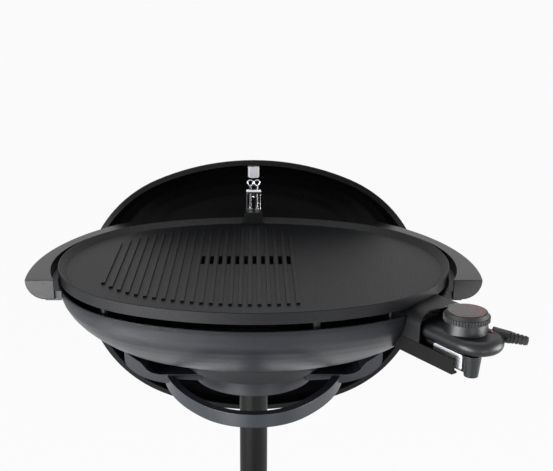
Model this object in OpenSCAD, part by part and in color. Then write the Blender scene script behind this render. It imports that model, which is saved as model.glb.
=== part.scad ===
// Electric barbecue grill on a column stand: oval non-stick plate over a bowl,
// plug-in thermostat, and a lid that hangs upright on a bracket as a wind shield.
// Origin: centre of the base on the floor. +Z up, +X right, -Y towards the cook.
// Heights called "below the rim" count down from the top edge of the plate's rim.

/* [Stand] */
// Height of the plate's rim above the floor
rim_z = 880; // [780:5:960]
// Diameter of the column tube
column_d = 42; // [36:1:48]
// Wall of the column tube
column_wall = 1.5; // [1:0.25:3]
// Height of the joint between the two column tubes
column_joint_z = 390; // [300:5:480]
// Diameter of the base
base_d = 460; // [420:5:540]
// Height of the base cover at the hub
base_h = 40; // [34:1:60]
// Thickness of the steel weight in the base
weight_t = 12; // [8:1:14]
// Diameter of a rubber foot
foot_d = 30; // [20:1:40]
// Height of a rubber foot
foot_h = 8; // [5:1:12]

/* [Plate] */
// Length of the plate
plate_l = 560; // [520:5:600]
// Width of the plate, front to back
plate_w = 438.4; // [425:0.1:455]
// Radius of the plate's two ends
plate_end_r = 203.2; // [196:0.1:208]
// Depth of the skirt below the rim
skirt_h = 16; // [12:1:20]
// Wall of the skirt
skirt_t = 3; // [2:0.5:5]
// Depth of the cooking surface below the rim
cook_depth = 8; // [5:0.5:11]
// Width of the slope between rim and cooking surface
slope_w = 9; // [6:0.5:14]
// Thickness of the cooking plate
plate_t = 6; // [4:0.5:8]
// Distance between two grill ribs
rib_pitch = 12.5; // [10:0.5:16]
// Width of a grill rib
rib_w = 5; // [3:0.5:7]
// Height of a grill rib
rib_h = 2.5; // [1:0.5:4]
// Left end of the ribbed zone
rib_x0 = -205; // [-215:5:-150]
// Right end of the ribbed zone
rib_x1 = 60; // [20:5:120]
// Length of a fat slot
slot_l = 38; // [20:1:60]
// Front end of the row of fat slots
slot_y = -5; // [-20:1:10]

/* [Heating element] */
// Diameter of the element's tube
element_d = 8.5; // [6.5:0.5:10]
// Distance of the element from the plate's edge
element_inset = 75; // [60:1:90]
// Number of clips that hold the element
clip_count = 3; // [2:1:4]

/* [Bowl] */
// Gap between the plate's skirt and the bowl's rim
air_gap = 10; // [7:0.5:14]
// Depth of the bowl
bowl_h = 118; // [110:1:124]
// How far the bowl's wall draws in towards the bottom
bowl_in = 140; // [130:1:148]
// Wall of the bowl
bowl_t = 3; // [2:0.5:4]
// Diameter of the bead on the bowl's rim
bead_d = 4; // [3:0.5:5]
// Depth of the drip tray
tray_h = 34; // [24:1:38]
// Wall of the drip tray
tray_t = 1.2; // [0.8:0.1:2]

/* [Handles] */
// Gap between the plate and a handle
handle_gap = 10.5; // [9:0.5:14]
// Radius of a handle's outer curve
handle_r = 334; // [325:1:345]
// Widest reach of a handle from the middle of the grill
handle_reach = 316; // [312:1:322]
// Distance of a handle's flat front end from the middle
handle_front = 83; // [70:1:90]
// Height of a handle
handle_h = 28; // [24:1:32]
// Depth of a handle's top below the rim
handle_drop = 5; // [2:0.5:8]

/* [Plug-in thermostat] */
// Direction of the plug, from the right side towards the front
plug_angle = -56; // [-62:1:-50]
// Distance of the plug from the radial line of the plate's end
plug_offset = 50; // [44:1:56]
// Depth of the contact pins below the rim
plug_drop = 56; // [54:1:60]
// Half width of the guard
guard_w = 41; // [40:0.5:44]
// Reach of the guard's hood beyond the plate
hood_reach = 31; // [24:1:34]
// Reach of the guard's tray beyond the plate
channel_reach = 91; // [80:1:104]
// Depth of the guard's floor below the rim
channel_drop = 76; // [74:1:84]
// Half width of the thermostat housing
control_w = 34; // [30:0.5:36]
// Reach of the thermostat housing beyond the plate
control_reach = 125; // [118:1:135]
// Diameter of the knob
knob_d = 59; // [54:1:64]
// Height of the knob
knob_h = 11.5; // [9:0.5:13]
// Number of ribs round the knob
knob_ribs = 48; // [24:4:60]
// Diameter of the contact pins
pin_d = 5; // [4:0.5:6]
// Distance between the contact pins
pin_gap = 26; // [22:1:30]
// Diameter of the sensor rod
probe_d = 6.4; // [5:0.2:7]

/* [Lid] */
// How far the lid's rim stands out past the plate
lid_over = 7.5; // [6:0.5:9]
// Depth of the lid
lid_h = 112; // [90:1:130]
// Wall of the lid
lid_t = 1.6; // [1:0.2:2.4]
// Width of the flat band round the lid's rim
lid_band = 9; // [8:0.5:11]
// Thickness of the band
lid_band_t = 2.4; // [2:0.2:3]
// Gap between the bowl's rim and the hanging lid
lid_gap = 6; // [4:0.5:9]
// Length of the lid's handle
lid_grip_l = 150; // [110:5:180]

/* [Lid bracket] */
// Width of the block that sits on the plate's rim
block_w = 31; // [27:1:40]
// Height of the block above the rim
block_h = 12; // [8:1:15]
// Diameter of the bracket's wire
wire_d = 4; // [3:0.5:5]
// Distance between the two upright wires
wire_gap = 11; // [9:0.5:13]
// Width of the cushion that carries the lid
cushion_w = 18.5; // [16:0.5:22]
// Height of the cushion
cushion_h = 18.5; // [16:0.5:22]

/* [Table foot] */
// Height of the drum and the two bows
bow_h = 19; // [15:1:24]
// Thickness of a bow
bow_t = 11; // [8:0.5:14]
// Reach of the front and rear bow
bow_reach = 183; // [170:1:195]
// Half width of the bows
bow_w = 133; // [126:1:138]
// Radius of the drum below the bowl
drum_r = 90; // [80:1:95]
// Height of the drum
drum_h = 26; // [22:1:32]
// Wall of the table foot
foot_wall = 4; // [3:0.5:5]

/* [Hidden] */
$fn = 96;

// Clearances: parts that touch, parts that run in one another, and cuts past a face
seat = 0.3;
run = 0.6;
past = 1;

// The plate's outline is four arcs: two ends of radius plate_end_r about (+-end_c, 0)
// and two long sides of radius side_r about (0, -+side_c). They meet at the angle join.
plate_a = plate_l / 2;
plate_b = plate_w / 2;
end_c = plate_a - plate_end_r;
side_r = (end_c * end_c + plate_b * plate_b - plate_end_r * plate_end_r)
    / (2 * (plate_b - plate_end_r));
side_c = side_r - plate_b;
join = atan2(side_c, end_c);
far = 2 * plate_l;

// Levels below the rim
plate_under = cook_depth + plate_t;
bowl_top = skirt_h + air_gap;
bowl_bottom = bowl_top + bowl_h;
function bowl_d(z) = -bowl_in * pow((z - bowl_top) / bowl_h, 2);
function bowl_z(d) = bowl_top + bowl_h * sqrt(-d / bowl_in);
bowl_steps = 10;

// Half of the outline's width at x, for the outline moved out by d
function edge_y(x, d) = abs(x) < (side_r + d) * cos(join)
    ? sqrt(pow(side_r + d, 2) - x * x) - side_c
    : sqrt(pow(plate_end_r + d, 2) - pow(abs(x) - end_c, 2));

// The part of the plane that one end, or one long side, fills with its arc
module end_wedge(side) {
    polygon([[side * end_c, 0], [side * (end_c + far * cos(join)), far * sin(join)],
        [side * far * 2, 0], [side * (end_c + far * cos(join)), -far * sin(join)]]);
}
module side_wedge(side) {
    polygon([[-end_c, 0], [end_c, 0], [end_c + far * cos(join), side * far * sin(join)],
        [-end_c - far * cos(join), side * far * sin(join)]]);
}

// The filled outline, moved out by d
module outline(d) {
    for (side = [-1, 1]) {
        translate([side * end_c, 0]) circle(plate_end_r + d);
        intersection() {
            translate([0, -side * side_c]) circle(side_r + d, $fn = 180);
            side_wedge(side);
        }
    }
}

// A slab of the outline moved out by d, from level z0 down to level z1
module slab(d, z0, z1) {
    translate([0, 0, -z1]) linear_extrude(z1 - z0) outline(d);
}

// A section swept along the outline. In the section, x is the distance outside
// the plate's edge and y the height above the rim.
module sweep() {
    for (side = [-1, 1]) {
        intersection() {
            translate([side * end_c, 0, 0]) rotate_extrude() translate([plate_end_r, 0]) children();
            translate([0, 0, -far]) linear_extrude(2 * far) end_wedge(side);
        }
        intersection() {
            translate([0, -side * side_c, 0]) rotate_extrude($fn = 180) translate([side_r, 0]) children();
            translate([0, 0, -far]) linear_extrude(2 * far) side_wedge(side);
        }
    }
}

// A round bead's section, drawn with straight sides so that its sweeps meet exactly
module bead(d) {
    polygon([for (i = [0 : 11]) [d / 2 * cos(15 + 30 * i), d / 2 * sin(15 + 30 * i)]]);
}

module at_rim() {
    translate([0, 0, rim_z]) children();
}

// The plug's own frame: x runs outwards from the plate's edge along the plug,
// y to its right, z up from the rim.
plug_start = sqrt(plate_end_r * plate_end_r - plug_offset * plug_offset);
module at_plug() {
    translate([end_c, 0, rim_z]) rotate([0, 0, plug_angle])
        translate([plug_start, plug_offset, 0]) children();
}

// A box between two opposite corners
module block(low, high) {
    translate(low) cube(high - low);
}

// Grill plate: cast aluminium, one piece with rim, skirt, ribs and fat slots
rib_end = 34;
slot_w = rib_pitch - rib_w - 2;
rib_n = floor((rib_x1 - rib_x0) / rib_pitch);
slot_first = ceil((-80 - rib_x0) / rib_pitch);
cook_edge = -skirt_t - slope_w;
module grill_plate() color([0.13, 0.13, 0.14]) at_rim() difference() {
    union() {
        slab(cook_edge + past, cook_depth, plate_under);
        sweep() polygon([[-skirt_t + 1, 0], [-0.8, 0], [0, -0.8], [-0.6, -skirt_h],
            [-skirt_t, -skirt_h], [-skirt_t - 1, -plate_under], [cook_edge, -plate_under],
            [cook_edge, -cook_depth], [-skirt_t, -1]]);
        for (i = [0 : rib_n]) let (x = rib_x0 + i * rib_pitch, y = edge_y(x, cook_edge - rib_end))
            block([x - rib_w / 2, -y, -cook_depth - past], [x + rib_w / 2, y, -cook_depth + rib_h]);
    }
    for (i = [slot_first : rib_n - 1]) let (x = rib_x0 + (i + 0.5) * rib_pitch)
        block([x - slot_w / 2, slot_y, -plate_under - past],
            [x + slot_w / 2, slot_y + slot_l, -cook_depth + past]);
}

// Feet under the plate, which stand on posts in the bowl
ledge_top = bowl_top + 18;
ledge_d = -17;
foot_a = [-12, 52, 128, 232];
module plate_foot() {
    translate([0, 0, -ledge_top + seat]) cylinder(r = 5, h = ledge_top - plate_under - 2 * seat);
}
module plate_feet() color([0.55, 0.55, 0.57]) at_rim() {
    for (a = foot_a) translate([abs(a) < 90 ? end_c : -end_c, 0, 0]) rotate([0, 0, a])
        translate([plate_end_r + cook_edge - 0.5, 0, 0]) plate_foot();
    translate([0, side_c, 0]) rotate([0, 0, -78]) translate([side_r + cook_edge - 0.5, 0, 0]) plate_foot();
}

// Heating element: one oval turn under the plate, its ends bent to the terminals
element_z = -(plate_under + seat + element_d / 2);
element_r = plate_end_r - element_inset;
lead_a = [asin((plug_offset - pin_gap / 2) / element_r), asin((plug_offset + pin_gap / 2) / element_r)];
terminal_back = -38;
terminal_face = -13;
module heating_element() color([0.32, 0.3, 0.3]) {
    difference() {
        at_rim() translate([0, 0, element_z]) sweep() translate([-element_inset, 0]) bead(element_d);
        at_plug() block([element_r * cos(lead_a[1]) - plug_start - 2 * element_d, -pin_gap / 2, -far],
            [element_r * cos(lead_a[0]) - plug_start + 2 * element_d, pin_gap / 2, far]);
    }
    at_plug() for (i = [0, 1]) {
        x = element_r * cos(lead_a[i]) - plug_start - 0.4 * element_d;
        y = (i - 0.5) * pin_gap;
        translate([x, y, element_z]) rotate([0, 90, 0])
            cylinder(d = element_d, h = terminal_back - x, $fn = 32);
    }
}

// Clips that hold the element to the plate
clip_w = 12;
clip_t = 4;
module element_clips() color([0.6, 0.6, 0.62]) at_rim()
    for (side = [-1, 1], i = [0 : clip_count - 1]) {
        x = (i - (clip_count - 1) / 2) * 90;
        translate([x, side * edge_y(x, -element_inset), 0])
            rotate([0, 0, -side * asin(x / (side_r - element_inset))]) difference() {
            block([-clip_w / 2, -element_d / 2 - clip_t, element_z - element_d / 2 - 2],
                [clip_w / 2, element_d / 2 + clip_t, -plate_under - seat]);
            block([-clip_w, -element_d / 2 - seat, element_z - element_d / 2 - seat],
                [clip_w, element_d / 2 + seat, 0]);
        }
    }

// Terminal block: ceramic block behind the guard's end plate, with a sleeve for the sensor
block_half = 24;
sleeve_end = -64;
module terminal_block() color([0.82, 0.8, 0.74]) at_plug() difference() {
    union() {
        block([terminal_back, -block_half, -plug_drop - 10],
            [terminal_face, block_half, -plate_under - seat]);
        translate([sleeve_end, 0, -plug_drop]) rotate([0, 90, 0])
            cylinder(d = probe_d + 7, h = terminal_back - sleeve_end);
        block([sleeve_end, -2, -plug_drop], [terminal_back, 2, -plate_under - seat]);
    }
    translate([sleeve_end - past, 0, -plug_drop]) rotate([0, 90, 0])
        cylinder(d = probe_d + 2 * run, h = terminal_face - sleeve_end + 2 * past);
    for (side = [-1, 1]) translate([terminal_back + 10, side * pin_gap / 2, -plug_drop])
        rotate([0, 90, 0]) cylinder(d = pin_d, h = 40);
}

// Contact pins of the plate
pin_out = 34;
module terminal_pins() color([0.78, 0.74, 0.66]) at_plug()
    for (side = [-1, 1]) translate([terminal_back + 10, side * pin_gap / 2, -plug_drop])
        rotate([0, 90, 0]) {
            cylinder(d = pin_d, h = pin_out - terminal_back - 10 + terminal_face - 1);
            translate([0, 0, pin_out - terminal_back - 10 + terminal_face - 1])
                cylinder(d1 = pin_d, d2 = pin_d - 2, h = 1.5);
        }

// Guard: end plate, arched hood and the channel below the thermostat
guard_t = 2.5;
guard_split = channel_drop - 21;
hood_top = 13;
hood_round = 22;
guard_in = terminal_face - 1;
guard_plate_t = 3;
hood_back = guard_in - guard_plate_t - 6;
module guard_plate() color([0.3, 0.3, 0.32]) at_plug() difference() {
    w = guard_w - guard_t - seat;
    union() {
        block([guard_in - guard_plate_t, -w, -channel_drop + guard_t + seat], [guard_in, w, -guard_split]);
        intersection() {
            hood_prism(w, hood_top + guard_t + seat, hood_round - guard_t - seat, guard_in - guard_plate_t, guard_in);
            block([guard_in - guard_plate_t, -guard_w, -far], [guard_in, guard_w, -skirt_h - 2]);
        }
    }
    block([guard_in - guard_plate_t - past, -block_half - seat, -plug_drop - 10 - seat],
        [guard_in + past, block_half + seat, past]);
}
module arch(w, top, r) {
    translate([-w, -guard_split]) square([2 * w, guard_split - top - r]);
    for (side = [-1, 1]) translate([side * (w - r), -top - r]) circle(r);
    translate([r - w, -guard_split]) square([2 * (w - r), guard_split - top]);
}
module hood_prism(w, top, r, x0, x1) {
    translate([x0, 0, 0]) rotate([90, 0, 90]) linear_extrude(x1 - x0) arch(w, top, r);
}
module guard_hood() color([0.16, 0.16, 0.17]) difference() {
    at_plug() difference() {
        hood_prism(guard_w, hood_top, hood_round, hood_back, hood_reach);
        hood_prism(guard_w - guard_t, hood_top + guard_t, hood_round - guard_t,
            hood_back - past, hood_reach + past);
        block([-far, -far, -far], [far, far, -guard_split + seat]);
    }
    at_rim() slab(seat, -past, skirt_h + 1);
}
module guard_tray() color([0.1, 0.1, 0.11]) at_plug() {
    difference() {
        block([guard_in - guard_plate_t, -guard_w, -channel_drop], [tray_half, guard_w, -guard_split]);
        block([guard_in - guard_plate_t - past, -guard_w + guard_t, -channel_drop + guard_t],
            [tray_half + past, guard_w - guard_t, 0]);
    }
    block([tray_half, -guard_w, -channel_drop], [channel_reach, -guard_w + guard_t, -guard_split]);
    block([tray_half, -guard_w + guard_t, -channel_drop], [channel_reach, -guard_w + 9, -channel_drop + guard_t]);
    block([channel_reach - guard_t, -guard_w + guard_t, -channel_drop + guard_t],
        [channel_reach, -guard_w + 5, -guard_split]);
}
tray_half = 40;
module guard_screws() color([0.7, 0.7, 0.72]) at_plug()
    for (side = [-1, 1], z = [-guard_split - 6, -guard_split + 6])
        translate([guard_in - guard_plate_t / 2, side * guard_w, z])
            rotate([-90 * side, 0, 0]) cylinder(r1 = 2.6, r2 = 2.2, h = 1.2, $fn = 32);

// Lid bracket: a block that straddles the plate's rear rim, two chromed wires that
// rise from it, a crossbar that ties them, and the cushion that carries the lid
block_front = plate_b + cook_edge - 5;
block_back = plate_b + 11;
lid_y = plate_b + bead_d / 2 + lid_gap;
lid_out = lid_over;
lid_in = lid_out - lid_band;
cushion_top = 85;
cushion_bottom = cushion_top - cushion_h;
lid_z = cushion_top - (plate_b + lid_in) + seat;
wire_y = lid_y - wire_d / 2 - 1;
bar_z = 38;
bar_h = 8;
bar_w = 24;
module lid_bracket_block() color([0.12, 0.12, 0.13]) at_rim() difference() {
    block([-block_w / 2, block_front, -skirt_h], [block_w / 2, block_back, block_h]);
    difference() {
        slab(run, -seat, far);
        slab(cook_edge - seat, -2 * past, far);
    }
    block([-block_w, 0, -far], [block_w, plate_b + cook_edge - seat + past, -cook_depth + seat]);
    for (side = [-1, 1]) {
        translate([side * block_w / 2, 0, block_h]) rotate([0, 45, 0])
            cube([5, far, 5], center = true);
        translate([side * wire_gap / 2, wire_y, block_h - 8]) cylinder(d = wire_d, h = 20, $fn = 32);
    }
}
eye_r = 4.5;
eye_z = 57;
module lid_bracket_wires() color([0.85, 0.85, 0.87]) at_rim() for (side = [-1, 1]) {
    x = side * wire_gap / 2;
    translate([x, wire_y, block_h - 8]) cylinder(d = wire_d, h = eye_z - eye_r - block_h + 8, $fn = 32);
    translate([x, wire_y, eye_z]) rotate([90, 0, 0]) rotate_extrude()
        translate([eye_r, 0]) circle(d = wire_d - 1, $fn = 24);
    translate([x, wire_y, block_h]) cylinder(d = wire_d + 3, h = 2.4, $fn = 32);
    translate([side * (bar_w / 2 - 1), wire_y, block_h]) cylinder(d = 1.6, h = bar_z - block_h - 0.1, $fn = 24);
}
module lid_bracket_crossbar() color([0.85, 0.85, 0.87]) at_rim() difference() {
    union() {
        translate([-bar_w / 2, wire_y, bar_z + bar_h / 2]) rotate([0, 90, 0]) cylinder(d = bar_h, h = bar_w);
        translate([0, wire_y, bar_z - 5]) sphere(d = wire_d, $fn = 32);
        translate([0, wire_y, bar_z - 5]) cylinder(d = 2, h = 8, $fn = 24);
    }
    for (side = [-1, 1]) translate([side * wire_gap / 2, wire_y, 0]) cylinder(d = wire_d + 0.1, h = 100, $fn = 32);
}
cushion_r = 4;
hook_lip = 3;
module lid_bracket_cushion() color([0.72, 0.73, 0.76]) at_rim() difference() {
    union() {
        translate([0, 0, cushion_bottom]) linear_extrude(cushion_h) cushion_plan(wire_y - 5, lid_y + lid_band_t + 4);
        translate([0, 0, cushion_bottom]) linear_extrude(cushion_h + hook_lip)
            cushion_plan(lid_y + lid_band_t + 1, lid_y + lid_band_t + 4, 1);
    }
    for (side = [-1, 1]) {
        translate([side * wire_gap / 2, wire_y, eye_z]) rotate([90, 0, 0])
            cylinder(r = eye_r + wire_d / 2, h = wire_d + 1, center = true);
        translate([side * cushion_w / 2, 0, cushion_bottom]) rotate([0, 45, 0]) cube([3, far, 3], center = true);
    }
}
module cushion_plan(y0, y1, r = 4) {
    x = cushion_w / 2 - r;
    for (side = [-1, 1], y = [y0 + r, y1 - r]) if (y1 - y0 > 2 * r)
        translate([side * x, y]) circle(r, $fn = 32);
    if (y1 - y0 > 2 * r) {
        translate([-x, y0]) square([2 * x, y1 - y0]);
        translate([-cushion_w / 2, y0 + r]) square([cushion_w, y1 - y0 - 2 * r]);
    } else translate([-cushion_w / 2, y0]) square([cushion_w, y1 - y0]);
}

// Lid: deep-drawn steel shell with a flat band round its rim. It is drawn with its
// rim down and then stood up behind the grill, with its opening towards the cook.
lid_steps = 9;
lid_flat = 190;
function lid_curve(t) = [for (i = [0 : lid_steps]) let (q = 90 * i / lid_steps)
    [lid_out - t - (lid_flat - t) * (0.86 - 0.86 * cos(q) + 0.14 * pow(sin(q), 0.85)),
        (lid_h - t) * pow(sin(q), 0.85)]];
module hang_lid() {
    translate([0, lid_y, rim_z + lid_z]) rotate([-90, 0, 0]) children();
}
function reverse(v) = [for (i = [len(v) - 1 : -1 : 0]) v[i]];
module lid_shell() color([0.05, 0.05, 0.055]) hang_lid() {
    translate([0, 0, lid_band_t]) {
        sweep() polygon(concat(lid_curve(0), reverse(lid_curve(lid_t))));
        translate([0, 0, lid_h - lid_t]) linear_extrude(lid_t) outline(lid_out - lid_flat);
    }
}
module lid_band() color([0.16, 0.16, 0.17]) hang_lid()
    sweep() polygon([[lid_in, 0.6], [lid_in + 0.6, 0], [lid_out - 0.8, 0], [lid_out, 0.8],
        [lid_out, lid_band_t], [lid_in, lid_band_t]]);
grip_z = lid_band_t + lid_h + 30;
grip_r = 11;
post_x = lid_grip_l / 2 - 22;
module lid_handle_grip() color([0.09, 0.09, 0.1]) hang_lid() {
    translate([-lid_grip_l / 2 + grip_r, 0, grip_z]) rotate([0, 90, 0])
        cylinder(r = grip_r, h = lid_grip_l - 2 * grip_r);
    for (side = [-1, 1]) translate([side * (lid_grip_l / 2 - grip_r), 0, grip_z]) sphere(grip_r);
}
module lid_handle_posts() color([0.09, 0.09, 0.1]) hang_lid() difference() {
    for (side = [-1, 1]) translate([side * post_x, 0, lid_band_t + lid_h + seat])
        cylinder(r1 = 12, r2 = 8, h = grip_z - lid_band_t - lid_h - seat);
    translate([-lid_grip_l, 0, grip_z]) rotate([0, 90, 0]) cylinder(r = grip_r + 0.1, h = 2 * lid_grip_l);
}
module lid_handle_screws() color([0.7, 0.7, 0.72]) hang_lid()
    for (side = [-1, 1]) translate([side * post_x, 0, lid_band_t + lid_h - lid_t - 2.4])
        cylinder(r1 = 4, r2 = 5, h = 2.4 - seat, $fn = 32);

// Thermostat: cover with the knob's pedestal, base that slides in the guard's channel
control_top = 31;
control_mid = 51;
control_round = (control_mid - control_top) / 2;
control_back = 16;
knob_x = 72;
pedestal_top = 18;
knob_bottom = -(pedestal_top - seat);
lens_x = 96;
lens_y = 21;
lens_r = 3;
relief_a = 28;
relief_x = control_reach - control_w;
relief_y = control_w - 6;
relief_root = 11.5;
shaft_r = 3;
module control_section() {
    translate([0, -control_mid]) square([control_w - control_round, control_mid - control_top]);
    translate([control_w - control_round, -control_top - control_round]) circle(control_round, $fn = 48);
}
module controller_cover() color([0.2, 0.2, 0.21]) at_plug() difference() {
    union() {
        translate([relief_x, 0, 0]) {
            rotate([0, 0, -90]) rotate_extrude(angle = 180) intersection() {
                control_section();
                translate([0, -far]) square(2 * far);
            }
            for (side = [0, 1]) mirror([0, side, 0]) rotate([90, 0, -90])
                linear_extrude(relief_x - control_back) mirror([1, 0]) control_section();
        }
        translate([knob_x, 0, -control_top - past])
            cylinder(r1 = knob_d / 2 - 1, r2 = knob_d / 2 - 3, h = control_top + past - pedestal_top);
        at_relief(0) cylinder(r1 = relief_r + 1.5, r2 = relief_r, h = relief_root + 12);
    }
    translate([lens_x, lens_y, -control_top - 5]) cylinder(r = lens_r + 0.05, h = far);
    translate([knob_x, 0, -control_mid + 4]) cylinder(r = shaft_r + 0.05, h = far, $fn = 48);
    at_relief(relief_root + 10) cylinder(r = relief_r - 2.5, h = far);
}
base_x0 = 4;
base_w = 28;
leg_r = 12;
leg_x = relief_x + 9;
module controller_base() color([0.17, 0.17, 0.18]) at_plug() difference() {
    union() {
        block([base_x0, -base_w, -channel_drop + guard_t + seat], [knob_x, base_w, -control_mid - seat]);
        block([base_x0, -base_w, -channel_drop + guard_t + seat],
            [leg_x, -base_w + 2 * leg_r, -control_mid - seat]);
        translate([leg_x, -base_w + leg_r, -channel_drop - 4]) cylinder(r1 = leg_r - 3, r2 = leg_r,
            h = channel_drop + 4 - control_mid - seat);
    }
    translate([base_x0 - past, 0, -plug_drop]) rotate([0, 90, 0])
        cylinder(d = probe_d, h = 30 + past);
    for (side = [-1, 1]) translate([base_x0 - past, side * pin_gap / 2, -plug_drop]) rotate([0, 90, 0])
        cylinder(d = socket_d, h = 34 + past);
}
socket_d = pin_d + 2 * run + 2;
module controller_sockets() color([0.78, 0.7, 0.5]) at_plug()
    for (side = [-1, 1]) translate([base_x0 + 1, side * pin_gap / 2, -plug_drop]) rotate([0, 90, 0])
        difference() {
            cylinder(d = socket_d, h = 33);
            translate([0, 0, -past]) cylinder(d = pin_d + 2 * 0.05, h = 32);
        }
module controller_probe() color([0.75, 0.75, 0.77]) at_plug()
    translate([sleeve_end + 4, 0, -plug_drop]) rotate([0, 90, 0]) {
        cylinder(d1 = probe_d - 3, d2 = probe_d, h = 2);
        translate([0, 0, 2]) cylinder(d = probe_d, h = base_x0 + 29 - sleeve_end - 4 - 2);
    }
module indicator_lens() color([0.85, 0.08, 0.1]) at_plug() translate([lens_x, lens_y, -control_top - 5]) {
    cylinder(r = lens_r, h = 5);
    translate([0, 0, 5]) cylinder(r1 = lens_r, r2 = lens_r - 1.5, h = 1);
}
relief_z = -37;
relief_dip = 2;
relief_r = 7.8;
relief_l = 23;
relief_ribs = 4;
module at_relief(d) {
    translate([relief_x, relief_y, relief_z]) rotate([0, 90 + relief_dip, relief_a]) translate([0, 0, d]) children();
}
module strain_relief() color([0.09, 0.09, 0.1]) at_plug() at_relief(relief_root + 10 + seat) difference() {
    union() {
        cylinder(r = relief_r - 2.6, h = relief_l);
        for (i = [0 : relief_ribs - 1]) translate([0, 0, 2.5 + seat + i * 5])
            cylinder(r = relief_r - 0.6 - 0.4 * i, h = 3.2);
    }
    translate([0, 0, relief_l - 8]) cylinder(r = 3.2, h = 10);
}

// Knob with its ribbed flange, the dial disc let into it, and its shaft
dial_r = 24;
flange_h = knob_h - 5;
module knob_outline() {
    r = knob_d / 2;
    polygon([for (i = [0 : knob_ribs - 1], k = [0, 1, 2, 3])
        let (a = (i + [0, 0.3, 0.5, 0.8][k]) * 360 / knob_ribs, q = k < 2 ? r : r - 1.1)
        [q * cos(a), q * sin(a)]]);
}
module control_knob() color([0.28, 0.28, 0.3]) at_plug() translate([knob_x, 0, knob_bottom]) difference() {
    union() {
        linear_extrude(flange_h) knob_outline();
        translate([0, 0, flange_h]) cylinder(r1 = knob_d / 2 - 1.6, r2 = dial_r + 1.6, h = knob_h - flange_h);
    }
    translate([0, 0, knob_h - 1.6]) cylinder(r = dial_r + 0.05, h = 5);
    translate([0, 0, -past]) cylinder(r = shaft_r + 0.05, h = 6 + past, $fn = 48);
}
module knob_dial() color([0.04, 0.04, 0.045]) at_plug() translate([knob_x, 0, knob_bottom + knob_h - 1.6])
    cylinder(r = dial_r, h = 2.2);
module knob_shaft() color([0.75, 0.75, 0.77]) at_plug() translate([knob_x, 0, -control_mid + 4 + seat])
    cylinder(r = shaft_r, h = control_mid - 4 + knob_bottom + 5.5, $fn = 48);

// Bowl: moulded shell whose wall follows a parabola, with a rolled rim, posts for the
// plate and the drip tray, and an open notch for the guard
function bowl_wall(t) = [for (i = [0 : bowl_steps]) let (z = bowl_top + bowl_h * i / bowl_steps)
    [bowl_d(z) - t, -z]];
tray_post_r = 8;
tray_bottom = bowl_bottom - 22;
module bowl_solid(grow) {
    sweep() polygon(concat(bowl_wall(-grow), [[bowl_d(bowl_bottom) - 20, -bowl_bottom - grow],
        [bowl_d(bowl_bottom) - 20, -bowl_top]]));
    slab(bowl_d(bowl_bottom) - 15, bowl_top, bowl_bottom + grow);
}
module bowl() color([0.2, 0.2, 0.215]) at_rim() difference() {
    union() {
        sweep() {
            polygon(concat(bowl_wall(0), [[-bowl_in - bowl_t, -bowl_bottom], [-bowl_in - bowl_t, -bowl_bottom + bowl_t]],
                [for (i = [bowl_steps - 1 : -1 : 0]) bowl_wall(bowl_t)[i]]));
            translate([-bead_d / 2 + 0.5, -bowl_top - bead_d / 2 + 0.5]) bead(bead_d);
            polygon([[bowl_d(ledge_top) - 1, -ledge_top], [ledge_d, -ledge_top],
                [ledge_d, -ledge_top - 2.5], [bowl_d(ledge_top + 12) - 1, -ledge_top - 12]]);
        }
        slab(-bowl_in - bowl_t + past, bowl_bottom - bowl_t, bowl_bottom);
        for (x = [-80, 80], y = [-40, 40]) translate([x, y, -bowl_bottom + 1])
            cylinder(r = tray_post_r, h = bowl_bottom - tray_bottom - 1 - seat);
    }
    translate([0, 0, -rim_z]) at_plug() block([guard_in - 30, -guard_w - 1.5, -channel_drop - 1.5], [60, guard_w + 1.5, 0]);
}

// Ring between the bowl and the table foot, shaped to the bowl's underside
module bowl_ring() color([0.2, 0.2, 0.215]) at_rim() difference() {
    translate([0, 0, -bowl_bottom - ring_h]) cylinder(r1 = ring_r, r2 = ring_r + 8, h = 26);
    translate([0, 0, -bowl_bottom - ring_h - past]) cylinder(r = ring_r - 36, h = far);
    bowl_solid(seat);
}

// Drip tray: pressed aluminium dish that also throws the heat up
module drip_tray() color([0.7, 0.7, 0.72]) at_rim() {
    z1 = tray_bottom;
    z0 = tray_bottom - tray_h;
    d0 = bowl_d(z0) - bowl_t - 6;
    d1 = bowl_d(z1) - bowl_t - 8;
    sweep() polygon([[d0, -z0], [d0 - 8, -z0], [d1 - tray_t, -z1 + tray_t], [d1 - 10, -z1 + tray_t],
        [d1 - 10, -z1], [d1, -z1], [d0 - 8 + tray_t, -z0 - tray_t], [d0, -z0 - tray_t]]);
    slab(d1 - 10, z1 - tray_t, z1);
}

// Side handles: crescents with a flat top, a rounded lower edge and a flat front end,
// each on a shelf that is fixed to the bowl
handle_cx = handle_reach - handle_r;
handle_cy = -41;
handle_round = handle_h - past;
handle_back = 58;
handle_bottom = handle_drop + handle_h;
module right_handle() at_rim() difference() {
    translate([handle_cx, handle_cy, 0]) rotate([0, 0, -30]) rotate_extrude(angle = 130, $fn = 180) union() {
        translate([handle_r - 75, -handle_bottom + handle_round]) square([75, handle_h - handle_round]);
        translate([handle_r - 75, -handle_bottom]) square([75 - handle_round, handle_h]);
        intersection() {
            translate([handle_r - handle_round, -handle_bottom + handle_round]) circle(handle_round);
            translate([handle_r - handle_round - past, -handle_bottom]) square([far, handle_round]);
        }
    }
    slab(handle_gap, -past, far);
    block([0, -far, -far], [far, -handle_front, past]);
    translate([end_c, 0, -far]) rotate([0, 0, handle_back]) block([-far, 0, 0], [far, far, far + past]);
}
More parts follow.
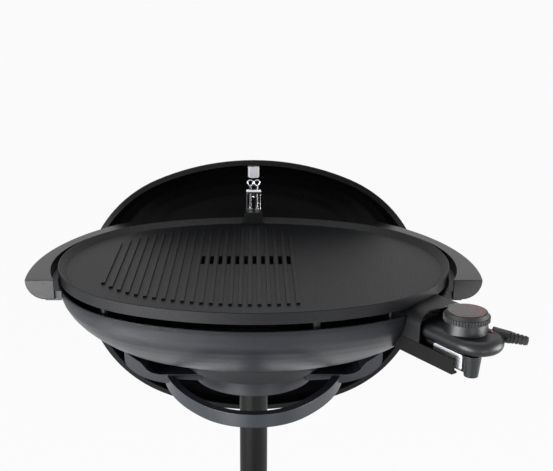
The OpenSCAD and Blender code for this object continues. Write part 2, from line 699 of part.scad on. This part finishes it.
module right_shelf() at_rim() difference() {
    union() {
        slab(handle_gap - seat, bowl_top - 4, handle_bottom + seat);
        slab(handle_gap + 11, handle_bottom + seat, handle_bottom + 2.5);
    }
    slab(0.5 + seat, 0, far);
    block([-far, -far, -far], [end_c + 20, far, past]);
    block([0, -far, -far], [far, 3 - handle_front, past]);
    translate([end_c, 0, -far]) rotate([0, 0, handle_back - 8]) block([-far, 0, 0], [far, far, far + past]);
}
module handle_right() color([0.24, 0.245, 0.26]) right_handle();
module handle_left() color([0.24, 0.245, 0.26]) mirror([1, 0, 0]) right_handle();
module handle_bracket_right() color([0.09, 0.09, 0.1]) right_shelf();
module handle_bracket_left() color([0.09, 0.09, 0.1]) mirror([1, 0, 0]) right_shelf();
module handle_screws() color([0.5, 0.5, 0.52]) at_rim() for (side = [-1, 1], a = [-12, 20])
    translate([side * end_c, 0, 0]) rotate([0, 0, side > 0 ? a : 180 - a])
        translate([plate_end_r + handle_gap + 5, 0, -handle_bottom - 2.5 - 2 - seat]) cylinder(r1 = 3, r2 = 4, h = 2, $fn = 32);

// Table foot: drum, two bows and two wings that cradle the bowl
ring_r = 107;
ring_h = 6;
foot_top = bowl_bottom + ring_h + seat;
foot_bottom = foot_top + drum_h;
wing_half = 62;
ridge_r = 96;
module bow_outline(d) {
    rr = ((bow_reach - ridge_r) * (bow_reach - ridge_r) + bow_w * bow_w - ridge_r * ridge_r)
        / (2 * (bow_w - ridge_r));
    c = bow_reach - ridge_r;
    a = atan2(rr - bow_w, c);
    rotate(90) for (side = [-1, 1]) {
        translate([side * c, 0]) circle(ridge_r + d);
        intersection() {
            translate([0, -side * (rr - bow_w)]) circle(rr + d, $fn = 180);
            polygon([[-c, 0], [c, 0], [c + far * cos(a), side * far * sin(a)],
                [-c - far * cos(a), side * far * sin(a)]]);
        }
    }
}
module wing_section() {
    x = bow_w;
    z = foot_bottom;
    polygon([[x + 51, z - 59], [x + 51, z - 43], [x + 49, z - 35], [x + 44, z - 29], [x + 34, z - 21],
        [x + 23, z - 15], [x + 10, z - 10.5], [x - 6, z - 7], [x - 14, z - 7], [0, z], [0, z - drum_h + 2],
        [x - 33, z - drum_h + 5], [x + 1, z - drum_h + 5.5], [x + 12, z - drum_h + 3], [x + 20, z - drum_h - 2],
        [x + 24, z - drum_h - 8], [x + 29, z - drum_h - 14], [x + 39, z - drum_h - 21],
        [x + 46, z - drum_h - 27], [x + 46, z - 59]]);
}
module table_foot() color([0.3, 0.31, 0.33]) at_rim() difference() {
    union() {
        translate([0, 0, -foot_bottom]) linear_extrude(bow_h) difference() {
            bow_outline(0);
            bow_outline(-bow_t);
        }
        for (side = [0, 180]) rotate([0, 0, side]) difference() {
            translate([0, wing_half, 0]) rotate([90, 0, 0]) linear_extrude(2 * wing_half)
                mirror([0, 1]) wing_section();
            translate([0, 0, -foot_bottom - past]) linear_extrude(drum_h - foot_wall - 4)
                difference() {
                    bow_outline(-bow_t - 0.2);
                    circle(drum_r - 1);
                    for (y = [-45, 45]) translate([0, y - 3]) square([far, 6]);
                }
        }
        translate([0, 0, -foot_bottom]) cylinder(r = drum_r, h = drum_h);
    }
    translate([0, 0, -foot_bottom - past]) difference() {
        cylinder(r = drum_r - foot_wall, h = drum_h - foot_wall + past);
        cylinder(d = column_d + 10, h = far);
        for (a = [0 : 60 : 300]) rotate([0, 0, a]) block([0, -1.5, 7], [drum_r, 1.5, far]);
    }
    bowl_solid(seat);
    translate([0, 0, -foot_top]) cylinder(r = ring_r + 1, h = ring_h + 20);
    translate([0, 0, -foot_bottom - past]) cylinder(d = column_d + seat, h = drum_h - foot_wall + past);
}
module table_foot_screws() color([0.5, 0.5, 0.52]) at_rim() for (a = [30 : 60 : 330]) rotate([0, 0, a])
    translate([60, 0, -foot_top - foot_wall - 2.4]) cylinder(r1 = 4, r2 = 5, h = 2.2, $fn = 32);

// Column: two tubes on an inner sleeve, with a ring over their joint
column_top = rim_z - foot_top - foot_wall - seat;
tube_bottom = foot_h + weight_t + 4;
module tube(d, wall, z0, z1) {
    translate([0, 0, z0]) difference() {
        cylinder(d = d, h = z1 - z0);
        translate([0, 0, -past]) cylinder(d = d - 2 * wall, h = z1 - z0 + 2 * past);
    }
}
module column_upper() color([0.07, 0.07, 0.075]) tube(column_d, column_wall, column_joint_z, column_top);
module column_lower() color([0.07, 0.07, 0.075]) tube(column_d, column_wall, tube_bottom, column_joint_z);
module column_sleeve() color([0.5, 0.5, 0.52])
    tube(column_d - 2 * column_wall - 0.1, 2, column_joint_z - 60, column_joint_z + 60);
ring_t = 4;
module column_ring() color([0.09, 0.09, 0.1]) translate([0, 0, column_joint_z - 14]) difference() {
    union() {
        cylinder(d1 = column_d + ring_t, d2 = column_d + 2 * ring_t, h = 6);
        translate([0, 0, 6]) cylinder(d = column_d + 2 * ring_t, h = 16);
        translate([0, 0, 22]) cylinder(d1 = column_d + 2 * ring_t, d2 = column_d + ring_t, h = 6);
    }
    translate([0, 0, -past]) cylinder(d = column_d + 0.1, h = 30);
}
socket_h = 70;
socket_t = 4;
module column_screws() color([0.5, 0.5, 0.52]) for (a = [60 : 120 : 300]) rotate([0, 0, a])
    translate([column_d / 2 + socket_t + 0.1, 0, base_h + 45]) rotate([0, 90, 0]) cylinder(r1 = 4.5, r2 = 3.5, h = 2.5, $fn = 32);

// Base: weight under a domed cover, socket for the column, rubber feet
module column_socket() color([0.09, 0.09, 0.1]) difference() {
    union() {
        translate([0, 0, base_h + seat]) cylinder(d1 = column_d + 34, d2 = column_d + 2 * socket_t, h = 12);
        translate([0, 0, base_h + seat]) cylinder(d = column_d + 2 * socket_t, h = socket_h);
    }
    cylinder(d = column_d + 0.1, h = 2 * socket_h + base_h);
}
cover_t = 3;
base_edge = 16;
cover_steps = 10;
function cover_curve(t) = [for (i = [0 : cover_steps]) let (q = i / cover_steps)
    [base_d / 2 - t - (base_d / 2 - t - column_d / 2 - 6) * pow(q, 1.6), base_edge - t
        + (base_h - base_edge) * pow(q, 0.8)]];
module base_cover() color([0.09, 0.09, 0.1]) rotate_extrude($fn = 180) polygon(concat(
    [[base_d / 2, foot_h - 4]], cover_curve(0), [[column_d / 2 + 1, base_h], [column_d / 2 + 1, base_h - cover_t]],
    reverse(cover_curve(cover_t)), [[base_d / 2 - cover_t, foot_h - 4]]));
module base_weight() color([0.3, 0.3, 0.31]) difference() {
    translate([0, 0, foot_h]) cylinder(r = base_d / 2 - cover_t - 4, h = weight_t - 4);
    for (a = [0 : 72 : 288]) rotate([0, 0, a]) translate([base_d / 2 - 70, 0, 0]) cylinder(d = 8, h = 60);
}
module base_feet() color([0.04, 0.04, 0.04]) {
    cylinder(d = 2 * foot_d, h = foot_h - seat);
    for (a = [36 : 72 : 324]) rotate([0, 0, a]) translate([base_d / 2 - foot_d, 0, 0]) cylinder(d = foot_d, h = foot_h - seat);
}

grill_plate();
plate_feet();
heating_element();
element_clips();
terminal_block();
terminal_pins();
guard_plate();
guard_hood();
guard_tray();
guard_screws();
lid_bracket_block();
lid_bracket_wires();
lid_bracket_crossbar();
lid_bracket_cushion();
lid_shell();
lid_band();
lid_handle_grip();
lid_handle_posts();
lid_handle_screws();
controller_cover();
controller_base();
controller_probe();
controller_sockets();
indicator_lens();
strain_relief();
control_knob();
knob_dial();
knob_shaft();
bowl();
bowl_ring();
drip_tray();
handle_left();
handle_right();
handle_bracket_left();
handle_bracket_right();
handle_screws();
table_foot();
table_foot_screws();
column_upper();
column_lower();
column_sleeve();
column_ring();
column_screws();
column_socket();
base_cover();
base_weight();
base_feet();
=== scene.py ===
"""Electric barbecue grill on a column stand, with its lid hung upright behind as a wind shield.
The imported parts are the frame, and each section dresses one of them. Metres, +Z up, the cook faces +Y."""

import math

import bpy
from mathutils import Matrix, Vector


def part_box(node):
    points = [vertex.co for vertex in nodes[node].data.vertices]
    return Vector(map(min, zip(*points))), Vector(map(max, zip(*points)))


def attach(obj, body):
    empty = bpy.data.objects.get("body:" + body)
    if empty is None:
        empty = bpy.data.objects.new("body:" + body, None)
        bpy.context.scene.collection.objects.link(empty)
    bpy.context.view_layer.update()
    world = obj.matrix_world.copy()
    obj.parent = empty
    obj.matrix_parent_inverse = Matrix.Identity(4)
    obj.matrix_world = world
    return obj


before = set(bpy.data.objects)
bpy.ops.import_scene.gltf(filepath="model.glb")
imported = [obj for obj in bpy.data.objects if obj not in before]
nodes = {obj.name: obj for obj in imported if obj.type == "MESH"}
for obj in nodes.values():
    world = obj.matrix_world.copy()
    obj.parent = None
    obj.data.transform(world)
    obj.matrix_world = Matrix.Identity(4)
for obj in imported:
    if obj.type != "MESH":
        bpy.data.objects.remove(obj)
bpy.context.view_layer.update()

# ---- Base ----------------------------------------------------------------------------
# A round moulded cover over an iron weight, on black rubber pads. The cover is ABS with a
# fine eroded grain, which takes the shine off it and leaves a soft, wide highlight.


def linear(code):
    parts = [int(code[i : i + 2], 16) / 255 for i in (1, 3, 5)]
    return [c / 12.92 if c <= 0.04045 else ((c + 0.055) / 1.055) ** 2.4 for c in parts] + [1.0]


def add_node(tree, kind, settings=None, **inputs):
    """One node, its settings as attributes, its inputs as values or as the sockets that feed them."""
    node = tree.nodes.new(kind)
    for name, value in (settings or {}).items():
        setattr(node, name, value)
    for name, value in inputs.items():
        socket = node.inputs[int(name[1:]) if name[0] == "_" else name.replace("_", " ")]
        if isinstance(value, bpy.types.NodeSocket):
            tree.links.new(value, socket)
        else:
            socket.default_value = value
    return node


def surfaced(name, colour, roughness, metallic=0.0, ior=1.5, grain=1.2, depth=0.03, spread=0.06,
             patch=60.0, fade=0.12, edge=0.5, stretch=(1, 1, 1), coat=0.0):
    """A finish: its colour in soft patches of patch mm, and a grain of grain mm that is depth mm deep.
    The eased edges of edge mm are drawn by the normal, as a tool or die leaves them."""
    material = bpy.data.materials.new(name)
    material.use_nodes = True
    tree = material.node_tree
    tree.nodes.clear()
    place = add_node(tree, "ShaderNodeTexCoord").outputs["Object"]
    drawn = add_node(tree, "ShaderNodeMapping", Vector=place, Scale=stretch).outputs[0]
    cloud = add_node(tree, "ShaderNodeTexNoise", Vector=place, Scale=1000 / patch, Detail=3.0)
    fine = add_node(tree, "ShaderNodeTexNoise", Vector=drawn, Scale=1000 / grain, Detail=2.0)
    tone = add_node(tree, "ShaderNodeMapRange", Value=cloud.outputs[0], From_Min=0.3, From_Max=0.7,
                    To_Min=1 - fade, To_Max=1 + fade)
    base = add_node(tree, "ShaderNodeVectorMath", {"operation": "SCALE"}, _0=linear(colour)[:3],
                    Scale=tone.outputs[0])
    rough = add_node(tree, "ShaderNodeMapRange", Value=fine.outputs[0], From_Min=0.3, From_Max=0.7,
                     To_Min=max(roughness - spread, 0.02), To_Max=min(roughness + spread, 1))
    eased = add_node(tree, "ShaderNodeBevel", {"samples": 6}, Radius=edge / 1000)
    bump = add_node(tree, "ShaderNodeBump", Strength=1.0, Distance=depth / 1000,
                    Height=fine.outputs[0], Normal=eased.outputs[0])
    shader = add_node(tree, "ShaderNodeBsdfPrincipled", Base_Color=base.outputs[0],
                      Roughness=rough.outputs[0], Normal=bump.outputs[0], Metallic=metallic, IOR=ior)
    shader.inputs["Coat Weight"].default_value = coat
    add_node(tree, "ShaderNodeOutputMaterial", Surface=shader.outputs[0])
    return material


def dress(material, *names):
    for name in names:
        mesh = nodes[name].data
        mesh.materials.clear()
        mesh.materials.append(material)


# Drawn coarser than the real 0.2 mm grain, so that it shows.
moulded_abs = surfaced("black_abs_eroded_grain", "#26272a", 0.5, grain=1.6, depth=0.04)
rubber = surfaced("black_rubber_pad", "#1b1b1c", 0.75, grain=2.5, depth=0.06)
raw_iron = surfaced("raw_cast_iron", "#4a4a4c", 0.7, metallic=0.8, grain=3, depth=0.25, spread=0.12)
dress(moulded_abs, "base_cover", "column_socket", "column_ring")
dress(rubber, "base_feet")
dress(raw_iron, "base_weight")

# ---- Column --------------------------------------------------------------------------
# Two drawn steel tubes on an inner sleeve, powder coated in satin black. The coat flows to
# a faint orange peel, which breaks the long highlight down the tube.
powder_coat = surfaced("black_powder_coat", "#040405", 0.42, ior=1.25, grain=2.2, depth=0.025,
                       spread=0.04, patch=120, fade=0.06)
plain_steel = surfaced("zinc_plated_steel", "#9c9ca0", 0.34, metallic=1.0, grain=0.8, depth=0.01,
                       stretch=(1, 1, 0.2), edge=0.3)
dress(powder_coat, "column_upper", "column_lower")
dress(plain_steel, "column_sleeve", "column_screws", "table_foot_screws", "handle_screws",
      "guard_screws", "lid_handle_screws", "element_clips", "guard_plate", "knob_shaft")

# ---- Table foot and bowl --------------------------------------------------------------
# Glass-filled nylon, moulded in anthracite and left satin. Its faces are even, and the
# light runs off them slowly. The bowl's edge is eased so widely because it is built in
# steps, which the real moulding doesn't have.
anthracite = surfaced("anthracite_glass_filled_nylon", "#202328", 0.36, ior=1.4, grain=1.4,
                      depth=0.03, patch=90, fade=0.08, edge=1.6)
bowl_nylon = surfaced("dark_glass_filled_nylon", "#202227", 0.38, ior=1.4, grain=1.4,
                      depth=0.015, patch=90, fade=0.08, edge=22)
rim_nylon = surfaced("dark_nylon_rim", "#17181b", 0.38, ior=1.4, grain=1.4, depth=0.02,
                     patch=90, fade=0.08)
dress(anthracite, "table_foot")
dress(bowl_nylon, "bowl")
dress(rim_nylon, "bowl_ring")

# ---- Drip tray -----------------------------------------------------------------------
# Pressed aluminium dish in the bowl. Rolling leaves faint lines along it, and the press
# a soft, cloudy shine.
pressed_aluminium = surfaced("rolled_aluminium", "#b9babd", 0.32, metallic=1.0, grain=1.5,
                             depth=0.02, stretch=(0.1, 1, 1), patch=40, spread=0.08)
dress(pressed_aluminium, "drip_tray")

# ---- Side handles --------------------------------------------------------------------
# Crescent grips in a smoother nylon than the bowl's, on black brackets. The top is flat and
# satin, and the cut ends face the cook and shine.
handle_nylon = surfaced("dark_satin_nylon", "#111215", 0.34, ior=1.38, grain=1.4, depth=0.01,
                        patch=70, fade=0.08, edge=2.0)
dress(handle_nylon, "handle_left", "handle_right")
dress(moulded_abs, "handle_bracket_left", "handle_bracket_right")

# ---- Grill plate ---------------------------------------------------------------------
# Die-cast aluminium with a sprayed and baked non-stick coat, feet included. The coat is
# nearly black and satin, with a fine speckle and a slight unevenness between the ribs.
nonstick = surfaced("baked_nonstick_coat", "#090a0d", 0.5, ior=1.28, grain=2.0, depth=0.045,
                    spread=0.09, patch=25, fade=0.14, edge=0.9)
dress(nonstick, "grill_plate", "plate_feet")

# ---- Heating element -----------------------------------------------------------------
# A steel-sheathed tube under the plate, blued and browned by heat, with its two ends in
# a glazed ceramic block and plain steel pins towards the plug.
heat_tinted = surfaced("heat_tinted_steel", "#5d5450", 0.45, metallic=1.0, grain=1, depth=0.02,
                       patch=18, fade=0.35)
glazed_ceramic = surfaced("glazed_steatite", "#d8d2c2", 0.25, grain=2, depth=0.02, patch=30)
dress(heat_tinted, "heating_element")
dress(glazed_ceramic, "terminal_block")
dress(plain_steel, "terminal_pins")

# ---- Guard round the plug ------------------------------------------------------------
# A hood and an open channel in black phenolic, which is harder than the bowl's nylon and
# moulds with a duller face. The channel is the duller of the two, and its colour is set darker still as
# painted shade against the front light.
phenolic = surfaced("black_phenolic_moulding", "#08090b", 0.46, ior=1.35, grain=1.4,
                    depth=0.03, edge=1.0)
# Painted shade: the channel's colour is darker than the hood's, so that the front light leaves it black.
shaded_channel_phenolic = surfaced("painted_shade_black_phenolic_channel", "#040405", 0.6, ior=1.25, grain=1.4,
                            depth=0.02, edge=1.0)
dress(phenolic, "guard_hood")
dress(shaded_channel_phenolic, "guard_tray")

# ---- Thermostat ----------------------------------------------------------------------
# Semi-matt housing in two halves, with brass sockets and the sensor rod inside, a red
# lamp with a dark bezel, a bare label on its side, and a ribbed sleeve for the lead.
housing = surfaced("semi_matt_abs_housing", "#101114", 0.4, ior=1.4, grain=1.3, depth=0.02, edge=1.6)
brass = surfaced("turned_brass", "#b8975a", 0.28, metallic=1.0, grain=0.6, depth=0.01, edge=0.3)
dress(housing, "controller_cover", "controller_base")
dress(brass, "controller_sockets")
dress(plain_steel, "controller_probe")
dress(rubber, "strain_relief")

lamp_red = surfaced("clear_red_acrylic", "#d8151f", 0.12, grain=1, depth=0.005, edge=0.4, coat=0.5)
dress(lamp_red, "indicator_lens")

# The plug points out from the plate's right end arc, which is centred on arc_centre.
plug_angle = math.radians(-56)
along = Vector((math.cos(plug_angle), math.sin(plug_angle), 0))
across = Vector((-along.y, along.x, 0))
arc_centre = Vector((0.0768, 0, 0.88))
arc_radius = 0.2032
plug_offset = 0.05
plug_out = math.sqrt(arc_radius**2 - plug_offset**2)


def at_plug(s, l, z):
    """A point s mm out along the plug, l mm across it and z mm above the rim."""
    flat = along * (plug_out + s / 1000) + across * (plug_offset + l / 1000)
    return arc_centre + flat + Vector((0, 0, z / 1000))


def piece(name, points, faces, material, body, smooth=False):
    mesh = bpy.data.meshes.new(name)
    mesh.from_pydata([tuple(p) for p in points], [], faces)
    mesh.update()
    made = bpy.data.objects.new(name, mesh)
    bpy.context.scene.collection.objects.link(made)
    mesh.materials.append(material)
    for polygon in mesh.polygons:
        polygon.use_smooth = smooth
    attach(made, body)
    return made


# The label is 0.2 mm thick, on the housing's flat side, with round corners.
label_film = surfaced("bare_white_label_film", "#c4c6ca", 0.4, grain=1, depth=0.004, fade=0.03, edge=0.2)
side_wall = -28
left, right, bottom, top, corner = 45, 95, -71.5, -52, 2.5
corner_steps = 6
outline = []
for s, z, first in ((right - corner, top - corner, 0), (left + corner, top - corner, 90),
                    (left + corner, bottom + corner, 180), (right - corner, bottom + corner, 270)):
    for i in range(corner_steps + 1):
        t = math.radians(first + 90 / corner_steps * i)
        outline.append((s + corner * math.cos(t), z + corner * math.sin(t)))
n = len(outline)
points = [at_plug(s, side_wall - lift, z) for lift in (0.22, 0.02) for s, z in outline]
edges = [[i, n + i, n + (i + 1) % n, (i + 1) % n] for i in range(n)]
piece("side_label", points, [list(range(n)), list(range(2 * n - 1, n - 1, -1))] + edges,
      label_film, "thermostat")

# The bezel is turned from its profile, radius and height in mm, round the lamp's centre.
bezel_black = surfaced("gloss_black_bezel", "#0e0e10", 0.2, grain=1, depth=0.005, edge=0.2)
lamp_s, lamp_l, sides = 96, 21, 36
bezel_profile = ((3.1, -31.0), (3.1, -30.3), (3.9, -30.1), (4.5, -30.9), (4.5, -31.0))
points = []
for r, z in bezel_profile:
    for i in range(sides):
        t = 2 * math.pi * i / sides
        points.append(at_plug(lamp_s + r * math.cos(t), lamp_l + r * math.sin(t), z))
faces = [[sides * k + i, sides * k + (i + 1) % sides, sides * (k + 1) + (i + 1) % sides, sides * (k + 1) + i]
         for k in range(len(bezel_profile) - 1) for i in range(sides)]
piece("lamp_bezel", points, faces, bezel_black, "thermostat", smooth=True)

# ---- Knob ----------------------------------------------------------------------------
# A matt, dark grey knob, ribbed round its flange for grip. A glossy black disc is let into its
# top, printed in red with a band that grows with the heat, and with ticks round it.
knob_grey = surfaced("matt_grey_abs_knob", "#141517", 0.54, ior=1.4, grain=1, depth=0.01, edge=0.35)
dial_gloss = surfaced("gloss_black_dial", "#101012", 0.16, grain=3, depth=0.004, fade=0.04, edge=0.4)
dial_ink = surfaced("red_dial_ink", "#c32026", 0.4, grain=1, depth=0.003, edge=0.1)
dress(knob_grey, "control_knob")
dress(dial_gloss, "knob_dial")
knob_s = 72
ink_gap, ink = 0.00004, 0.00006
dial = at_plug(knob_s, 0, 0)
dial.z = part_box("knob_dial")[1].z + ink_gap


def dial_point(radius, degrees):
    t = math.radians(degrees)
    return dial + along * (radius / 1000 * math.cos(t)) + across * (radius / 1000 * math.sin(t))


def printed(name, quads):
    """Flat patches of ink, one for each quad."""
    points, faces = [], []
    for quad in quads:
        k = len(points)
        points += [p + Vector((0, 0, ink)) for p in quad] + [Vector(p) for p in quad]
        faces += [[k, k + 1, k + 2, k + 3], [k + 7, k + 6, k + 5, k + 4]]
        faces += [[k + i, k + 4 + i, k + 4 + (i + 1) % 4, k + (i + 1) % 4] for i in range(4)]
    return piece(name, points, faces, dial_ink, "knob")


# The scale runs through the knob's whole turn, and the band widens from thin to thick.
turn_start, turn = -140, 270
band_r, band_thin, band_growth, steps = 18.4, 0.3, 2.1, 60
heat_band = []
for i in range(steps):
    a0, a1 = turn_start + turn * i / steps, turn_start + turn * (i + 1) / steps
    inner0 = band_r - (band_thin + band_growth * i / steps)
    inner1 = band_r - (band_thin + band_growth * (i + 1) / steps)
    heat_band.append([dial_point(inner0, a0), dial_point(band_r, a0),
                      dial_point(band_r, a1), dial_point(inner1, a1)])
printed("dial_heat_band", heat_band)
tick_from, tick_to, tick_step = 20, 22.2, 27
printed("dial_ticks", [[dial_point(tick_from, a - 1.6), dial_point(tick_to, a - 1.4),
                        dial_point(tick_to, a + 1.4), dial_point(tick_from, a + 1.6)]
                       for a in range(turn_start, turn_start + turn + 1, tick_step)])
arrow = [(2, 160), (11.5, 178), (11.5, 182), (2, 200)]
tail = [(9, -4), (9.6, 4), (3, 12), (3, -12)]
printed("dial_pointer", [[dial_point(radius, degrees) for radius, degrees in mark] for mark in (arrow, tail)])

# ---- Lid bracket ---------------------------------------------------------------------
# A black block straddles the plate's rear rim. Two chromed wires rise from it to eyes,
# tied by a chromed crossbar, and a pale heat-proof cushion on top carries the lid.
chrome = surfaced("polished_chrome_plate", "#d6d7da", 0.07, metallic=1.0, grain=2, depth=0.003,
                  spread=0.03, fade=0.03, edge=0.3)
cushion = surfaced("pale_silicone_cushion", "#a9abb0", 0.42, grain=1.2, depth=0.02, edge=1.0)
dress(phenolic, "lid_bracket_block")
dress(chrome, "lid_bracket_wires", "lid_bracket_crossbar")
dress(cushion, "lid_bracket_cushion")

# ---- Lid -----------------------------------------------------------------------------
# Deep-drawn steel, enamelled black inside and out, with a rolled band round its rim and a
# moulded phenolic grip. The index is set below the real 1.5, as on the other dark pieces,
# so that they stay as black as in the photograph. The steps are eased as on the bowl.
enamel = surfaced("gloss_black_enamel", "#030304", 0.3, ior=1.2, grain=9, depth=0.01, spread=0.03,
                  patch=150, fade=0.05, edge=14)
rim_enamel = surfaced("satin_rim_enamel", "#050506", 0.45, ior=1.25, grain=3, depth=0.005, edge=0.6)
dress(enamel, "lid_shell")
dress(rim_enamel, "lid_band")
dress(phenolic, "lid_handle_grip", "lid_handle_posts")

# ---- Studio --------------------------------------------------------------------------
# A pale floor without an end, in a dim room. Wide soft lights stand low at the left, the front
# and the right, so the fronts shine and the tops stay dark, and a weak one hangs above.
near, far = -30, 60
floor_mesh = bpy.data.meshes.new("studio_floor")
corners = [(near, near, 0), (-near, near, 0), (-near, far, 0), (near, far, 0)]
floor_mesh.from_pydata(corners, [], [[0, 1, 2, 3]])
floor = bpy.data.objects.new("studio_floor", floor_mesh)
bpy.context.scene.collection.objects.link(floor)


def direct_rays(tree):
    """1 for camera, glossy and transmission rays, so that metal shows the white background too."""
    rays = add_node(tree, "ShaderNodeLightPath")
    shiny = add_node(tree, "ShaderNodeMath", {"operation": "MAXIMUM"}, _0=rays.outputs["Is Glossy Ray"],
                     _1=rays.outputs["Is Transmission Ray"])
    return add_node(tree, "ShaderNodeMath", {"operation": "MAXIMUM"}, _0=rays.outputs["Is Camera Ray"],
                    _1=shiny.outputs[0]).outputs[0]


# The paper is white as far as white_share goes, and the rest keeps the object's shadow.
white_share = 0.95
paper = bpy.data.materials.new("white_studio_paper")
paper.use_nodes = True
tree = paper.node_tree
tree.nodes.clear()
matt = add_node(tree, "ShaderNodeBsdfDiffuse", Color=linear("#bcbcbe"))
glow = add_node(tree, "ShaderNodeEmission", Color=(1, 1, 1, 1), Strength=1.0)
share = add_node(tree, "ShaderNodeMath", {"operation": "MULTIPLY"}, _0=direct_rays(tree), _1=white_share)
mixed = add_node(tree, "ShaderNodeMixShader", _0=share.outputs[0], _1=matt.outputs[0], _2=glow.outputs[0])
add_node(tree, "ShaderNodeOutputMaterial", Surface=mixed.outputs[0])
floor_mesh.materials.append(paper)

scene = bpy.context.scene
room = bpy.data.worlds.new("studio_room")
scene.world = room
room.use_nodes = True
tree = room.node_tree
tree.nodes.clear()
seen = add_node(tree, "ShaderNodeBackground", Color=(1, 1, 1, 1), Strength=1.0)
ray = add_node(tree, "ShaderNodeTexCoord").outputs["Generated"]
heading = add_node(tree, "ShaderNodeSeparateXYZ", Vector=ray)
depth = add_node(tree, "ShaderNodeMapRange", Value=heading.outputs["Y"], From_Min=-0.6, From_Max=0.6,
                 To_Min=0.09, To_Max=0.2)
lit = add_node(tree, "ShaderNodeBackground", Color=(1, 1, 1, 1), Strength=depth.outputs[0])
either = add_node(tree, "ShaderNodeMixShader", _0=direct_rays(tree), _1=lit.outputs[0], _2=seen.outputs[0])
add_node(tree, "ShaderNodeOutputWorld", Surface=either.outputs[0])


def softbox(name, place, aim, width, height, watts):
    lamp = bpy.data.lights.new(name, "AREA")
    lamp.shape, lamp.size, lamp.size_y, lamp.energy = "RECTANGLE", width, height, watts
    made = bpy.data.objects.new(name, lamp)
    made.location = place
    made.rotation_euler = (Vector(aim) - Vector(place)).to_track_quat("-Z", "Y").to_euler()
    scene.collection.objects.link(made)


softbox("left_softbox", (-2.0, -1.3, 0.8), (0, 0, 0.82), 1.4, 0.9, 95)
softbox("front_softbox", (-1.05, -1.75, 0.35), (-0.2, 0, 0.85), 1.2, 0.6, 34)
softbox("top_softbox", (0.1, 0.3, 2.5), (0, 0, 0.85), 1.6, 0.8, 9)
softbox("right_softbox", (1.8, -0.4, 0.75), (0.3, -0.2, 0.85), 1.2, 0.9, 44)
softbox("right_front_softbox", (0.95, -1.8, 0.35), (0.3, 0, 0.85), 0.6, 0.5, 9)

# The camera looks down by camera_dip degrees. Its place and lens give the photograph's frame.
camera_dip = 16.82
lens = bpy.data.cameras.new("camera")
lens.lens, lens.sensor_width, lens.shift_x = 62.886, 36, 0.0414
lens.clip_end = 100
camera = bpy.data.objects.new("camera", lens)
camera.location = (0, -1.3304, 1.3159)
camera.rotation_euler = (math.radians(90 - camera_dip), 0, 0)
scene.collection.objects.link(camera)
scene.camera = camera
scene.view_settings.view_transform = "Standard"
